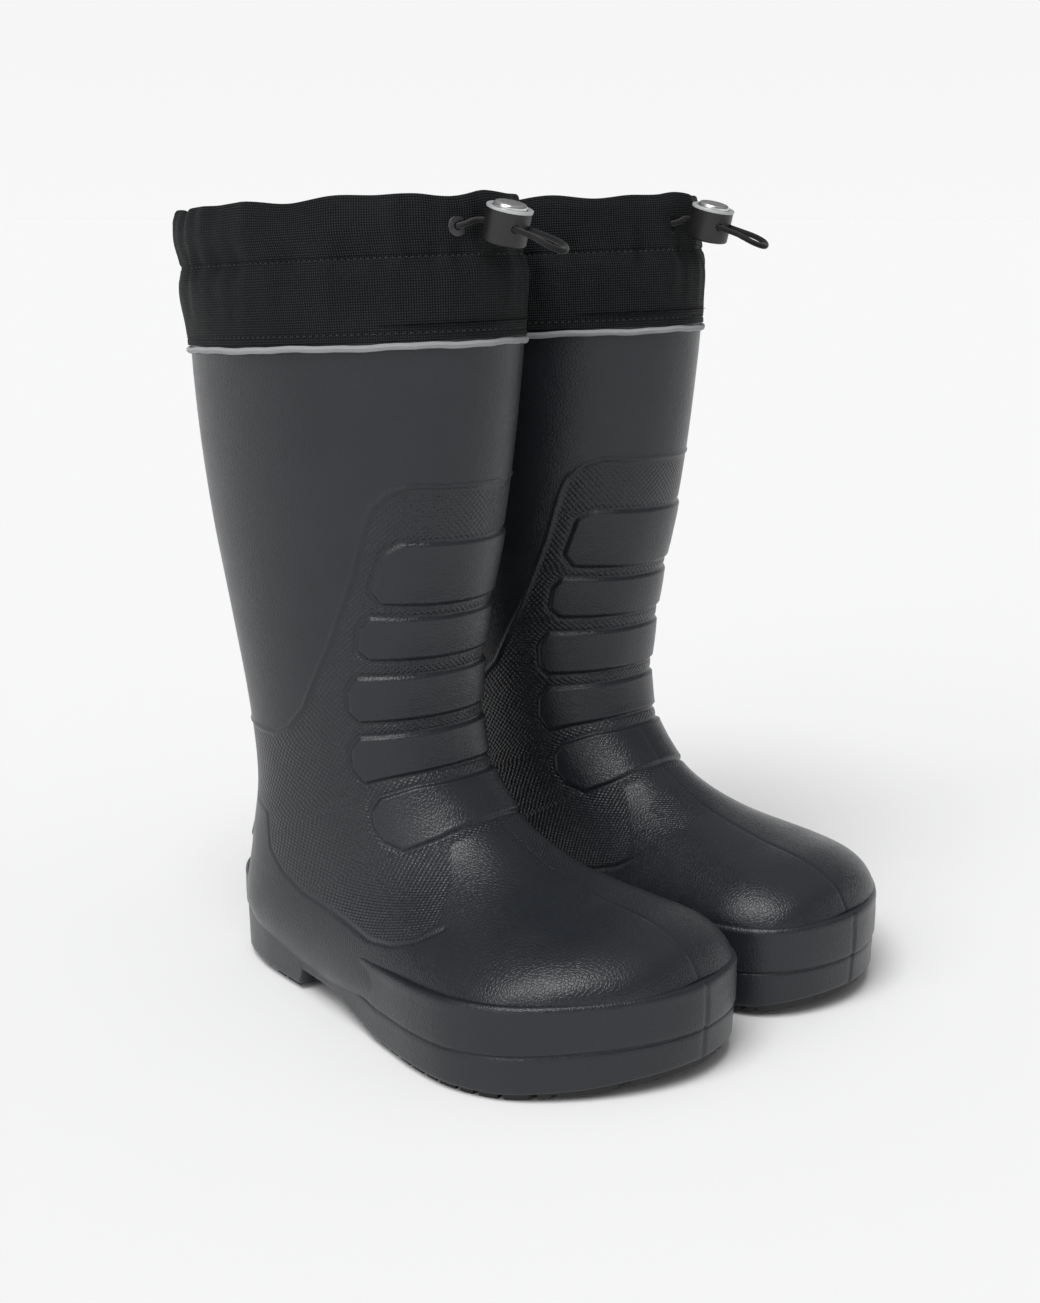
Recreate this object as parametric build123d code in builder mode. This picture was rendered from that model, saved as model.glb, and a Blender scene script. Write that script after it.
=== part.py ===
"""A pair of tall insulated winter boots with drawcord collars, in millimetres.

Row frame: +Z up, toes towards -Y, right boot at -X, left boot at +X, origin on the ground
under the middle of the pair. Every piece is built for the right boot and mirrored for the left.
Inside one boot, u is measured across the foot (towards the other boot), y towards the heel
and z up from the ground.
"""

import math
import os

from build123d import *

# --- Where the right boot stands in the row frame ---
BOOT_X = -66.5
BOOT_Y = 40.8

# --- Walls and clearances ---
SHELL_WALL = 6.0
LINER_WALL = 6.0
CLEARANCE = 0.3
FLOOR_Z = 22.0
RIM_HEIGHT = 9.0
LINER_HEIGHT = -1.0
FOOTBED_THICKNESS = 5.0

# --- The boot's form: ovals that fan from level round the leg to upright across the toes ---
# front y, z,   back y, z,   half width, front and back roundness, ridge u, base u
FORM_SECTIONS = [
    (-80.7, 337.0, 105.4, 327.0, 61.5, 2.1, 2.1, 0.0, 0.0),
    (-74.3, 280.0, 100.5, 274.0, 59.0, 2.1, 2.1, 0.0, 0.0),
    (-67.5, 235.0, 93.0, 228.0, 55.8, 2.1, 2.1, 0.0, 0.0),
    (-57.5, 192.0, 81.5, 181.0, 51.8, 2.1, 2.1, 0.0, 0.0),
    (-51.5, 158.0, 71.5, 135.0, 48.2, 2.2, 2.1, 0.5, 0.0),
    (-50.8, 136.0, 68.5, 95.0, 45.6, 2.3, 2.1, 2.0, 0.0),
    (-56.5, 117.0, 75.5, 60.0, 44.6, 2.35, 2.15, 3.0, 0.0),
    (-70.0, 100.0, 80.0, 22.0, 44.0, 2.5, 2.2, 4.0, -1.0),
    (-86.0, 88.5, 44.0, 6.0, 46.0, 2.4, 2.3, 4.5, -4.0),
    (-108.0, 78.0, -20.0, 4.0, 55.0, 2.2, 2.4, 5.0, -9.0),
    (-138.0, 70.5, -104.0, 4.0, 63.5, 2.15, 2.4, 7.0, -11.0),
    (-163.0, 66.0, -133.8, 6.0, 61.0, 2.2, 2.4, 8.0, -3.0),
    (-181.0, 58.0, -158.6, 12.0, 48.0, 2.3, 2.4, 8.0, 5.0),
    (-189.5, 46.0, -176.8, 20.0, 32.0, 2.4, 2.4, 9.0, 9.0),
]
RIDGE_FADE = 3.0
OVAL_POINTS = 36
TOE_BEGINS_Y = -110.0
TOE_LENGTH = 80.0
FORM_CUT_Z = 20.0

# --- Sole unit: plan outline (u, y) from the heel round the outer side, and side levels ---
SOLE_PLAN = [
    (0, 91), (-12, 86.5), (-23.5, 74), (-33, 54), (-38.7, 33), (-43.2, 12), (-49, -11), (-57, -38),
    (-66, -66), (-74, -95), (-76, -120), (-68, -146), (-49, -168), (-23, -186), (5, -194), (34, -189),
    (54, -174), (61, -148), (58, -116), (52, -86), (48, -57), (46, -29), (45, -4), (42.5, 18),
    (38.2, 37), (32.5, 57), (24.5, 75.5), (13, 86.8),
]
RIM_LEVELS = [(96, 46.5), (20, 40.5), (-60, 39.5), (-130, 43.5), (-196, 46.0)]
STEP_LEVELS = [(96, 26.0), (20, 26.0), (-60, 19.0), (-130, 20.5), (-196, 25.0)]
GROUND_LEVELS = [(96, 3.0), (17, 3.0), (14, 11.0), (-14, 11.0), (-55, 3.0), (-140, 3.0), (-170, 5.5), (-196, 10.5)]
STEP_INSET = 1.0
PLAN_POINTS = 60
SOLE_HALF_SPAN = 95.0

# --- Heel pad for pushing the boot off ---
SPUR_WIDTH = 32.0
SPUR_LOW_Z = 57.0
SPUR_HIGH_Z = 74.0
SPUR_BACK_Y = 85.0
SPUR_DEPTH = 16.0

# --- Raised pads over the shin and instep: side outlines (y, z), from the front edge back ---
PAD_HEIGHT = 1.2
PAD_FRONT_Y = -100.0
SHIN_PADS = [
    [(PAD_FRONT_Y, 225), (-52, 227.5), (-45, 223), (-38, 205), (-41, 199), (PAD_FRONT_Y, 196)],
    [(PAD_FRONT_Y, 190), (-36, 192.5), (-31.5, 187), (-29.5, 177), (-34, 172.5), (PAD_FRONT_Y, 173)],
    [(PAD_FRONT_Y, 166), (-28, 163.5), (-23.5, 157), (-23.5, 147), (-27.5, 142.5), (PAD_FRONT_Y, 148)],
    [(PAD_FRONT_Y, 142), (-27, 134.5), (-23, 129), (-23, 120), (-28.5, 113), (-39, 116.5), (PAD_FRONT_Y, 132)],
    [(PAD_FRONT_Y, 122), (-49, 112), (-36, 106.5), (-32.5, 100), (-34, 93), (-40, 87.5), (-51, 84.5),
     (-63, 90.5), (-74, 98), (PAD_FRONT_Y, 112)],
]

# --- Rubber outsole plates under the forefoot and heel ---
OUTSOLE_INSET = 5.0
OUTSOLE_THICKNESS = 4.5
OUTSOLE_DROP = 3.0
FOREFOOT_SPAN_Y = (-189.0, -59.0)
HEEL_SPAN_Y = (21.0, 91.0)
GROOVE_WIDTH = 2.6
GROOVE_DEPTH = 2.2
GROOVE_PITCH = 10.5
GROOVE_ANGLE = 9.0
CENTRE_GROOVES_U = (-30.0, -8.0, 14.0)

# --- Collar frame: an oval ring round the leg, lower at the back ---
COLLAR_CENTRE_Y = 12.8
COLLAR_CENTRE_Z = 311.2
COLLAR_TILT = 3.0
# height up the collar, half length (front to back), half width, shift towards the heel
COLLAR_SECTIONS = [
    (2.0, 93.4, 64.0, 0.0),
    (17.0, 94.0, 64.6, 0.0),
    (31.0, 93.6, 64.4, 0.0),
    (38.0, 91.8, 63.2, 0.5),
    (50.0, 93.6, 64.8, 2.5),
    (60.0, 93.2, 64.4, 2.3),
    (65.0, 91.8, 63.0, 2.0),
]
COLLAR_THICKNESS = 1.6
HEM_THICKNESS = 1.8
LINING_SECTIONS = [
    (11.5, 90.0, 60.4, 0.0),
    (34.0, 89.6, 60.4, 0.4),
    (44.0, 87.4, 58.6, 1.6),
    (62.9, 87.4, 58.6, 2.0),
]
LINING_THICKNESS = 1.2
PIPING_HALF_LENGTH = 92.4
PIPING_HALF_WIDTH = 63.2
PIPING_RADIUS = 1.6

# --- Drawcord channel, eyelets and cord ---
CHANNEL_HEIGHT = 50.0
CORD_RADIUS = 1.3
CORD_RING = (89.7, 60.9, 2.2)
RING_POINTS = 30
RING_GAP_ANGLE = 6.0
EYELET_U = (-18.0, 6.0)
EYELET_FLANGE_RADIUS = 4.4
EYELET_BARREL_RADIUS = 2.6
EYELET_HOLE_RADIUS = 1.8
EYELET_FLANGE_THICKNESS = 0.9
WASHER_THICKNESS = 0.7
WASHER_GAP = 0.25

# --- Cord lock: a drum with a sprung button that pinches two strands ---
LOCK_U = -6.0
LOCK_STAND_OFF = 105.5
LOCK_LEAN = 18.0
LOCK_RADIUS = 10.0
LOCK_HEIGHT = 14.5
LOCK_FLOOR = 1.2
STRAND_LEVEL = 8.2
STRAND_OFFSET = 4.2
STRAND_HOLE_RADIUS = 1.75
PLUNGER_RADIUS = 6.8
PLUNGER_BORE_RADIUS = 7.15
PLUNGER_LOW = 5.2
PLUNGER_HIGH = 14.3
PLUNGER_SLOT_LOW = 6.6
PLUNGER_SLOT_HIGH = 12.6
PLUNGER_SLOT_WIDTH = 3.4
CAP_RADIUS = 7.5
CAP_BORE_RADIUS = 7.9
CAP_BORE_LOW = 11.3
CAP_HEIGHT = 3.3
CAP_ROUNDING = 1.8
BEZEL_OUTER_RADIUS = 10.3
BEZEL_HEIGHT = 1.2
SPRING_RADIUS = 4.6
SPRING_WIRE_RADIUS = 0.3
SPRING_TURNS = 3

# Route of the free cord beyond the eyelets, in the lock's own frame:
# across, outwards from the lock's middle, and up from the strand level.
LOOP_ROUTE = [
    (-STRAND_OFFSET, -11.5, 0.0),
    (-STRAND_OFFSET, 19.0, 0.0),
    (-5.4, 25.0, -0.5),
    (-4.9, 31.0, -1.5),
    (0.0, 34.6, -2.5),
    (4.9, 31.0, -1.5),
    (5.4, 25.0, -0.5),
    (STRAND_OFFSET, 19.0, 0.0),
    (STRAND_OFFSET, -11.5, 0.0),
]


def boot_point(u, y, z):
    """A point of the right boot in the row frame."""
    return Vector(u + BOOT_X, y + BOOT_Y, z)


collar_plane = Plane(
    origin=boot_point(0, COLLAR_CENTRE_Y, COLLAR_CENTRE_Z),
    x_dir=(1, 0, 0),
    z_dir=(0, math.sin(math.radians(COLLAR_TILT)), math.cos(math.radians(COLLAR_TILT))),
)


def level(levels, y):
    """Height on a side line given as (y, z) corners that run from the heel to the toe."""
    for (y0, z0), (y1, z1) in zip(levels, levels[1:]):
        if y1 <= y <= y0:
            return z0 + (z1 - z0) * (y0 - y) / (y0 - y1)
    return levels[0][1] if y > levels[0][0] else levels[-1][1]


def signed_power(value, power):
    return math.copysign(abs(value) ** power, value)


def form_oval(section, inset):
    """One oval of the boot's form, drawn in by inset all round."""
    front_y, front_z, back_y, back_z, half_width, front_round, back_round, ridge_u, base_u = section
    half_length = math.hypot(back_y - front_y, back_z - front_z) / 2
    along = Vector(0, back_y - front_y, back_z - front_z).normalized()
    middle_y = (front_y + back_y) / 2
    toe_share = min(max((TOE_BEGINS_Y - middle_y) / TOE_LENGTH, 0.0), 1.0)
    middle = boot_point(0, middle_y + inset * toe_share, (front_z + back_z) / 2)
    plane = Plane(origin=middle, x_dir=along, z_dir=Vector(0, along.Z, -along.Y))
    points = []
    for step in range(OVAL_POINTS + 1):
        angle = 2 * math.pi * step / OVAL_POINTS
        roundness = front_round if math.cos(angle) > 0 else back_round
        lengthwise = -signed_power(math.cos(angle), 2 / roundness)
        across = signed_power(math.sin(angle), 2 / roundness)
        centre_u = base_u + (ridge_u - base_u) * ((1 - lengthwise) / 2) ** RIDGE_FADE
        points.append((lengthwise * (half_length - inset), across * (half_width - inset) + centre_u))
    half = OVAL_POINTS // 2
    points[-1] = points[0]
    with BuildSketch(plane) as oval:
        with BuildLine():
            Spline(*points[:half + 1])
            Spline(*points[half:])
        make_face()
    return oval.sketch


def boot_form(inset, floor_z, top_height):
    """The boot's form drawn in by inset, from a level floor up to a height on the collar's frame."""
    with BuildPart() as form:
        loft([form_oval(section, inset) for section in FORM_SECTIONS])
        split(bisect_by=Plane.XY.offset(floor_z), keep=Keep.TOP)
        if top_height is not None:
            split(bisect_by=collar_plane.offset(top_height), keep=Keep.BOTTOM)
    return form.part


def sole_outline(inset):
    """The sole's plan outline, drawn in by inset all round."""
    with BuildLine() as rim:
        Spline(*[(u + BOOT_X, y + BOOT_Y) for u, y in SOLE_PLAN], periodic=True)
    edge = rim.edges()[0]
    points = []
    for step in range(PLAN_POINTS):
        place = edge @ (step / PLAN_POINTS)
        ahead = edge % (step / PLAN_POINTS)
        points.append((place.X - ahead.Y * inset, place.Y + ahead.X * inset))
    with BuildSketch(Plane.XY) as outline:
        with BuildLine():
            Spline(*points, periodic=True)
        make_face()
    return outline.sketch


def side_band(low_levels, high_levels, low_shift=0.0, high_shift=0.0, span=(-200.0, 100.0)):
    """A slab across the whole boot between two side lines, kept within a span of y."""
    inner = [y for y, _ in low_levels + high_levels if span[0] < y < span[1]]
    stations = sorted(set(inner) | set(span), reverse=True)
    low = [(y + BOOT_Y, level(low_levels, y) + low_shift) for y in stations]
    high = [(y + BOOT_Y, level(high_levels, y) + high_shift) for y in reversed(stations)]
    with BuildPart() as band:
        with BuildSketch(Plane.YZ.offset(BOOT_X - SOLE_HALF_SPAN)):
            with BuildLine():
                Polyline(*low, *high, close=True)
            make_face()
        extrude(amount=2 * SOLE_HALF_SPAN)
    return band.part


def sole_layer(inset, band):
    """The sole's plan shape, drawn in by inset, where it meets a side band."""
    with BuildPart() as layer:
        add(sole_outline(inset))
        extrude(amount=60)
        add(band, mode=Mode.INTERSECT)
    return layer.part


def outsole_blank(span):
    """A rubber plate set into the bottom of the sole, before its tread is cut."""
    band = side_band(GROUND_LEVELS, GROUND_LEVELS, -OUTSOLE_DROP, OUTSOLE_THICKNESS - OUTSOLE_DROP, span)
    return sole_layer(OUTSOLE_INSET, band)


def outsole_plate(span):
    """A rubber outsole plate with cross grooves that lean alternate ways and long grooves."""
    low_y, high_y = span
    count = int((high_y - low_y) / GROOVE_PITCH)
    with BuildPart() as plate:
        add(outsole_blank(span))
        for index in range(count):
            y = low_y + (index + 0.7) * GROOVE_PITCH
            middle_z = level(GROUND_LEVELS, y) - OUTSOLE_DROP
            lean = GROOVE_ANGLE if index % 2 else -GROOVE_ANGLE
            with Locations(Location(boot_point(0, y, middle_z), (0, 0, lean))):
                Box(200, GROOVE_WIDTH, 2 * GROOVE_DEPTH, mode=Mode.SUBTRACT)
        for u in CENTRE_GROOVES_U:
            with Locations(boot_point(u, (low_y + high_y) / 2, 0)):
                Box(GROOVE_WIDTH, high_y - low_y + 10, 2 * GROOVE_DEPTH, mode=Mode.SUBTRACT)
    return plate.part


def shin_pad(outline, outer_form):
    """One raised pad: the form grown by the pad's height, within the pad's side outline."""
    with BuildPart() as pad:
        with BuildSketch(Plane.YZ.offset(BOOT_X - SOLE_HALF_SPAN)):
            with BuildLine():
                Polyline(*[(y + BOOT_Y, z) for y, z in outline], close=True)
            make_face()
        extrude(amount=2 * SOLE_HALF_SPAN)
        add(outer_form, mode=Mode.INTERSECT)
    return pad.part


def collar_point(u, v, height):
    """A point given in the collar's tilted frame."""
    return collar_plane.from_local_coords(Vector(u, v, height))


def oval_tube(sections, inset):
    """A solid oval column through the given heights, drawn in by inset."""
    with BuildPart() as column:
        for height, half_length, half_width, shift in sections:
            with BuildSketch(collar_plane.offset(height)):
                with Locations((0, shift)):
                    Ellipse(half_width - inset, half_length - inset)
        loft()
    return column.part


def eyelet_plane(u):
    """A plane on the collar's outer face at the channel, facing straight out of the fabric."""
    half_length, half_width, shift = COLLAR_SECTIONS[4][1:]
    v = shift - half_length * math.sqrt(1 - (u / half_width) ** 2)
    outward = Vector(u / half_width ** 2, (v - shift) / half_length ** 2, 0).normalized()
    foot = collar_point(u, v, CHANNEL_HEIGHT)
    tip = collar_point(u + outward.X, v + outward.Y, CHANNEL_HEIGHT)
    return Plane(origin=foot, x_dir=collar_plane.z_dir, z_dir=tip - foot)


def strand_frame():
    """The lock's plane at its foot: local z up the drum, local -y the way the strands leave."""
    lean = math.radians(LOCK_LEAN)
    up = Vector(0, -math.sin(lean), math.cos(lean))
    middle = Vector(LOCK_U, -LOCK_STAND_OFF, CHANNEL_HEIGHT)
    foot = middle - up * STRAND_LEVEL
    origin = collar_point(foot.X, foot.Y, foot.Z)
    tip = collar_point(foot.X + up.X, foot.Y + up.Y, foot.Z + up.Z)
    return Plane(origin=origin, x_dir=(1, 0, 0), z_dir=tip - origin)


lock_plane = strand_frame()


def lock_point(across, outwards, up):
    """A point given in the lock's frame, its height measured from the strand level."""
    return lock_plane.from_local_coords(Vector(across, -outwards, STRAND_LEVEL + up))


def corner_radii(points, share=0.45):
    """The largest tangent arc that each corner's shorter run allows."""
    radii = []
    for before, corner, after in zip(points, points[1:], points[2:]):
        turn = (corner - before).get_angle(after - corner)
        shorter = min((corner - before).length, (after - corner).length)
        radii.append(share * shorter / math.tan(math.radians(turn / 2)))
    return radii


def cord_tube(name, points):
    """A round cord along straight runs joined by tangent arcs."""
    radii = corner_radii(points)
    with BuildPart() as tube:
        with BuildLine() as path:
            FilletPolyline(*points, radius=radii)
        start = path.line @ 0
        with BuildSketch(Plane(origin=start, z_dir=path.line % 0)):
            Circle(CORD_RADIUS)
        sweep()
    length = sum(edge.length for edge in path.edges())
    expected = math.pi * CORD_RADIUS ** 2 * length
    print(name, "length", round(length, 1), "volume over section x length",
          round(tube.part.volume / expected, 4), "radii", [round(radius, 1) for radius in radii])
    return tube.part


# ---------------------------------------------------------------- shell and soles
print("forms")
outer_form = boot_form(0.0, FORM_CUT_Z, RIM_HEIGHT)
pad_form = boot_form(-PAD_HEIGHT, FORM_CUT_Z, RIM_HEIGHT)
cavity_form = boot_form(SHELL_WALL, FLOOR_Z, None)
forefoot_blank = outsole_blank(FOREFOOT_SPAN_Y)
heel_blank = outsole_blank(HEEL_SPAN_Y)

print("shell")
with BuildPart() as shell:
    add(outer_form)
    add(sole_layer(0.0, side_band(STEP_LEVELS, RIM_LEVELS)))
    add(sole_layer(STEP_INSET, side_band(GROUND_LEVELS, STEP_LEVELS, 0.0, 0.5)))
    for pad_outline in SHIN_PADS:
        add(shin_pad(pad_outline, pad_form))
    with Locations(boot_point(0, SPUR_BACK_Y - SPUR_DEPTH / 2, (SPUR_LOW_Z + SPUR_HIGH_Z) / 2)):
        Box(SPUR_WIDTH, SPUR_DEPTH, SPUR_HIGH_Z - SPUR_LOW_Z)
    add(cavity_form, mode=Mode.SUBTRACT)
    add(forefoot_blank, mode=Mode.SUBTRACT)
    add(heel_blank, mode=Mode.SUBTRACT)

print("outsoles")
with BuildPart() as forefoot_outsole:
    add(outsole_plate(FOREFOOT_SPAN_Y))

with BuildPart() as heel_outsole:
    add(outsole_plate(HEEL_SPAN_Y))

# ---------------------------------------------------------------- liner and footbed
print("liner")
LINER_INSET = SHELL_WALL + CLEARANCE
LINER_FLOOR = FLOOR_Z + CLEARANCE
with BuildPart() as liner:
    add(boot_form(LINER_INSET, LINER_FLOOR, LINER_HEIGHT))
    add(boot_form(LINER_INSET + LINER_WALL, LINER_FLOOR + LINER_WALL, None), mode=Mode.SUBTRACT)

with BuildPart() as footbed:
    add(boot_form(LINER_INSET + LINER_WALL + CLEARANCE, LINER_FLOOR + LINER_WALL, LINER_HEIGHT))
    split(bisect_by=Plane.XY.offset(LINER_FLOOR + LINER_WALL + FOOTBED_THICKNESS), keep=Keep.BOTTOM)

# ---------------------------------------------------------------- collar, lining, piping
print("collar")
hem_height = COLLAR_SECTIONS[-1][0] - HEM_THICKNESS
eyelets = []
washers = []
for eyelet_u in EYELET_U:
    face = eyelet_plane(eyelet_u)
    with BuildPart() as eyelet:
        with BuildSketch(face):
            Circle(EYELET_FLANGE_RADIUS)
        extrude(amount=EYELET_FLANGE_THICKNESS)
        fillet(eyelet.faces().sort_by(Axis(face.origin, face.z_dir))[-1].edges(), 0.4)
        with BuildSketch(face):
            Circle(EYELET_BARREL_RADIUS)
        extrude(amount=-(COLLAR_THICKNESS + WASHER_GAP + WASHER_THICKNESS))
        with BuildSketch(face.offset(2)):
            Circle(EYELET_HOLE_RADIUS)
        extrude(amount=-8, mode=Mode.SUBTRACT)
    with BuildPart() as washer:
        with BuildSketch(face.offset(-COLLAR_THICKNESS - WASHER_GAP)):
            Circle(EYELET_FLANGE_RADIUS)
            Circle(EYELET_BARREL_RADIUS, mode=Mode.SUBTRACT)
        extrude(amount=-WASHER_THICKNESS)
    eyelets.append(eyelet)
    washers.append(washer)

with BuildPart() as collar_wall:
    add(oval_tube(COLLAR_SECTIONS, 0.0))
    inner_sections = [row for row in COLLAR_SECTIONS if row[0] < hem_height]
    last = COLLAR_SECTIONS[-1]
    inner_sections = inner_sections + [(hem_height,) + last[1:]]
    add(oval_tube([(-1.0,) + COLLAR_SECTIONS[0][1:]] + inner_sections, COLLAR_THICKNESS), mode=Mode.SUBTRACT)
    with BuildSketch(collar_plane.offset(hem_height - 5)):
        with Locations((0, LINING_SECTIONS[-1][3])):
            Ellipse(LINING_SECTIONS[-1][2] - LINING_THICKNESS, LINING_SECTIONS[-1][1] - LINING_THICKNESS)
    extrude(amount=20, mode=Mode.SUBTRACT)
    for eyelet_u in EYELET_U:
        with BuildSketch(eyelet_plane(eyelet_u).offset(5)):
            Circle(EYELET_BARREL_RADIUS)
        extrude(amount=-10, mode=Mode.SUBTRACT)
    for fitting in eyelets + washers:
        add(fitting.part, mode=Mode.SUBTRACT)

with BuildPart() as collar:
    add(collar_wall.solids().sort_by(SortBy.VOLUME)[-1])

with BuildPart() as collar_lining:
    add(oval_tube(LINING_SECTIONS, 0.0))
    add(oval_tube(LINING_SECTIONS, LINING_THICKNESS), mode=Mode.SUBTRACT)

with BuildPart() as piping:
    with BuildSketch(collar_plane.offset(-PIPING_RADIUS)):
        Ellipse(PIPING_HALF_WIDTH + PIPING_RADIUS, PIPING_HALF_LENGTH + PIPING_RADIUS)
        Ellipse(PIPING_HALF_WIDTH - PIPING_RADIUS, PIPING_HALF_LENGTH - PIPING_RADIUS, mode=Mode.SUBTRACT)
    extrude(amount=2 * PIPING_RADIUS)
    fillet(piping.edges(), PIPING_RADIUS * 0.9)

# ---------------------------------------------------------------- drawcord
print("cord")
ring_length, ring_width, ring_shift = CORD_RING


def ring_angle(u):
    """Angle round the cord's ring, from the front, of the point at u."""
    return math.degrees(math.asin(u / ring_width))


def ring_point(angle):
    """A point on the cord's ring; the angle runs from the front towards the other boot."""
    radians = math.radians(angle)
    return collar_point(ring_width * math.sin(radians), ring_shift - ring_length * math.cos(radians), CHANNEL_HEIGHT)


first_angle = ring_angle(EYELET_U[1]) + RING_GAP_ANGLE
last_angle = 360 + ring_angle(EYELET_U[0]) - RING_GAP_ANGLE
ring_route = [
    ring_point(first_angle + (last_angle - first_angle) * step / RING_POINTS) for step in range(RING_POINTS + 1)
]
with BuildPart() as drawcord_run:
    add(cord_tube("drawcord_run", ring_route))

loop_route = [lock_point(*place) for place in LOOP_ROUTE]
CORD_INSIDE = -3.6
CORD_OUTSIDE = 5.5
exits = [eyelet_plane(eyelet_u) for eyelet_u in EYELET_U]
loop_route = (
    [exits[0].from_local_coords(Vector(0, 0, CORD_INSIDE)), exits[0].from_local_coords(Vector(0, 0, CORD_OUTSIDE))]
    + loop_route
    + [exits[1].from_local_coords(Vector(0, 0, CORD_OUTSIDE)), exits[1].from_local_coords(Vector(0, 0, CORD_INSIDE))]
)
print("loop route", [tuple(round(value, 2) for value in point) for point in loop_route])
with BuildPart() as drawcord_loop:
    add(cord_tube("drawcord_loop", loop_route))

# ---------------------------------------------------------------- cord lock
print("lock")
strand_plane = Plane(origin=lock_point(0, 0, 0), x_dir=(1, 0, 0), z_dir=-lock_plane.y_dir)
with BuildPart() as lock_body:
    with BuildSketch(lock_plane):
        Circle(LOCK_RADIUS)
    extrude(amount=LOCK_HEIGHT)
    fillet(lock_body.faces().sort_by(Axis(lock_plane.origin, lock_plane.z_dir))[0].edges(), 1.0)
    with BuildSketch(lock_plane.offset(LOCK_FLOOR)):
        Circle(PLUNGER_BORE_RADIUS)
    extrude(amount=LOCK_HEIGHT, mode=Mode.SUBTRACT)
    with BuildSketch(lock_plane.offset(CAP_BORE_LOW)):
        Circle(CAP_BORE_RADIUS)
    extrude(amount=LOCK_HEIGHT, mode=Mode.SUBTRACT)
    with BuildSketch(strand_plane):
        with Locations((-STRAND_OFFSET, 0), (STRAND_OFFSET, 0)):
            Circle(STRAND_HOLE_RADIUS)
    extrude(amount=2 * LOCK_RADIUS, both=True, mode=Mode.SUBTRACT)

with BuildPart() as lock_bezel:
    with BuildSketch(lock_plane.offset(LOCK_HEIGHT)):
        Circle(BEZEL_OUTER_RADIUS)
        Circle(CAP_BORE_RADIUS, mode=Mode.SUBTRACT)
    extrude(amount=BEZEL_HEIGHT)
    fillet(lock_bezel.faces().sort_by(Axis(lock_plane.origin, lock_plane.z_dir))[-1].edges(), 0.4)

with BuildPart() as lock_button:
    with BuildSketch(lock_plane.offset(PLUNGER_LOW)):
        Circle(PLUNGER_RADIUS)
    extrude(amount=PLUNGER_HIGH - PLUNGER_LOW)
    slot_middle = (PLUNGER_SLOT_LOW + PLUNGER_SLOT_HIGH) / 2 - STRAND_LEVEL
    with BuildSketch(strand_plane):
        with Locations((-STRAND_OFFSET, slot_middle), (STRAND_OFFSET, slot_middle)):
            Rectangle(PLUNGER_SLOT_WIDTH, PLUNGER_SLOT_HIGH - PLUNGER_SLOT_LOW)
    extrude(amount=2 * LOCK_RADIUS, both=True, mode=Mode.SUBTRACT)

with BuildPart() as lock_button_cap:
    with BuildSketch(lock_plane.offset(PLUNGER_HIGH)):
        Circle(CAP_RADIUS)
    extrude(amount=CAP_HEIGHT)
    fillet(lock_button_cap.faces().sort_by(Axis(lock_plane.origin, lock_plane.z_dir))[-1].edges(), CAP_ROUNDING)

spring_height = PLUNGER_LOW - LOCK_FLOOR - 2 * SPRING_WIRE_RADIUS
with BuildPart() as lock_spring:
    with BuildLine() as coil:
        Helix(spring_height / SPRING_TURNS, spring_height, SPRING_RADIUS,
              center=lock_plane.offset(LOCK_FLOOR + SPRING_WIRE_RADIUS).origin, direction=lock_plane.z_dir)
    with BuildSketch(Plane(origin=coil.line @ 0, z_dir=coil.line % 0)):
        Circle(SPRING_WIRE_RADIUS)
    sweep(is_frenet=True)

# ---------------------------------------------------------------- write both boots
pieces = {
    "shell": shell,
    "forefoot_outsole": forefoot_outsole,
    "heel_outsole": heel_outsole,
    "liner": liner,
    "footbed": footbed,
    "collar": collar,
    "collar_lining": collar_lining,
    "piping": piping,
    "lateral_eyelet": eyelets[0],
    "medial_eyelet": eyelets[1],
    "lateral_eyelet_washer": washers[0],
    "medial_eyelet_washer": washers[1],
    "drawcord_run": drawcord_run,
    "drawcord_loop": drawcord_loop,
    "lock_body": lock_body,
    "lock_bezel": lock_bezel,
    "lock_button": lock_button,
    "lock_button_cap": lock_button_cap,
    "lock_spring": lock_spring,
}

os.makedirs("parts", exist_ok=True)
for piece_name, piece in pieces.items():
    with BuildPart() as mirrored:
        mirror(piece.part, about=Plane.YZ)
    for side, side_piece in (("right", piece), ("left", mirrored)):
        node = f"{side}_{piece_name}"
        side_piece.part.label = node
        export_step(side_piece.part, f"parts/{node}.step")
    box = piece.part.bounding_box()
    print(piece_name, "solids", len(piece.part.solids()), "volume", round(piece.part.volume),
          "low", [round(value, 1) for value in box.min], "high", [round(value, 1) for value in box.max])
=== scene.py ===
"""Looks for a pair of tall moulded foam winter boots, in metres, in the row frame.

Everything is made for the right boot in the boot's own millimetres (u across, y towards the
heel, z up) and mirrored for the left boot.
"""
import math
import random

import bpy
import numpy as np
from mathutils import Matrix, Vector


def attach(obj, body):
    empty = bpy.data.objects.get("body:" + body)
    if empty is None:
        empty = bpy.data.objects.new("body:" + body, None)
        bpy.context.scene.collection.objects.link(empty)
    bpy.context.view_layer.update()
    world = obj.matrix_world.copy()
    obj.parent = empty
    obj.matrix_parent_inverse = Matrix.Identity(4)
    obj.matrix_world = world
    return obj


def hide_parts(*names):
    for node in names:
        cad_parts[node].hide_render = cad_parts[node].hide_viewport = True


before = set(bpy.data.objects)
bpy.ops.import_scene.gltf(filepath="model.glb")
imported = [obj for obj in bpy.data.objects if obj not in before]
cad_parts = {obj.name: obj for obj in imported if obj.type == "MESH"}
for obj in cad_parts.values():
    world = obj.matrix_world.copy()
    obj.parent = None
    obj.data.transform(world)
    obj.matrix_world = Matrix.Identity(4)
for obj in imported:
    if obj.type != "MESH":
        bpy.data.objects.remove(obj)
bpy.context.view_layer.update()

# --- Places and sizes, as in the CAD source (mm) ---
BOOT_X = -66.5
BOOT_Y = 40.8
COLLAR_CENTRE_Y = 12.8
COLLAR_CENTRE_Z = 311.2
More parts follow.
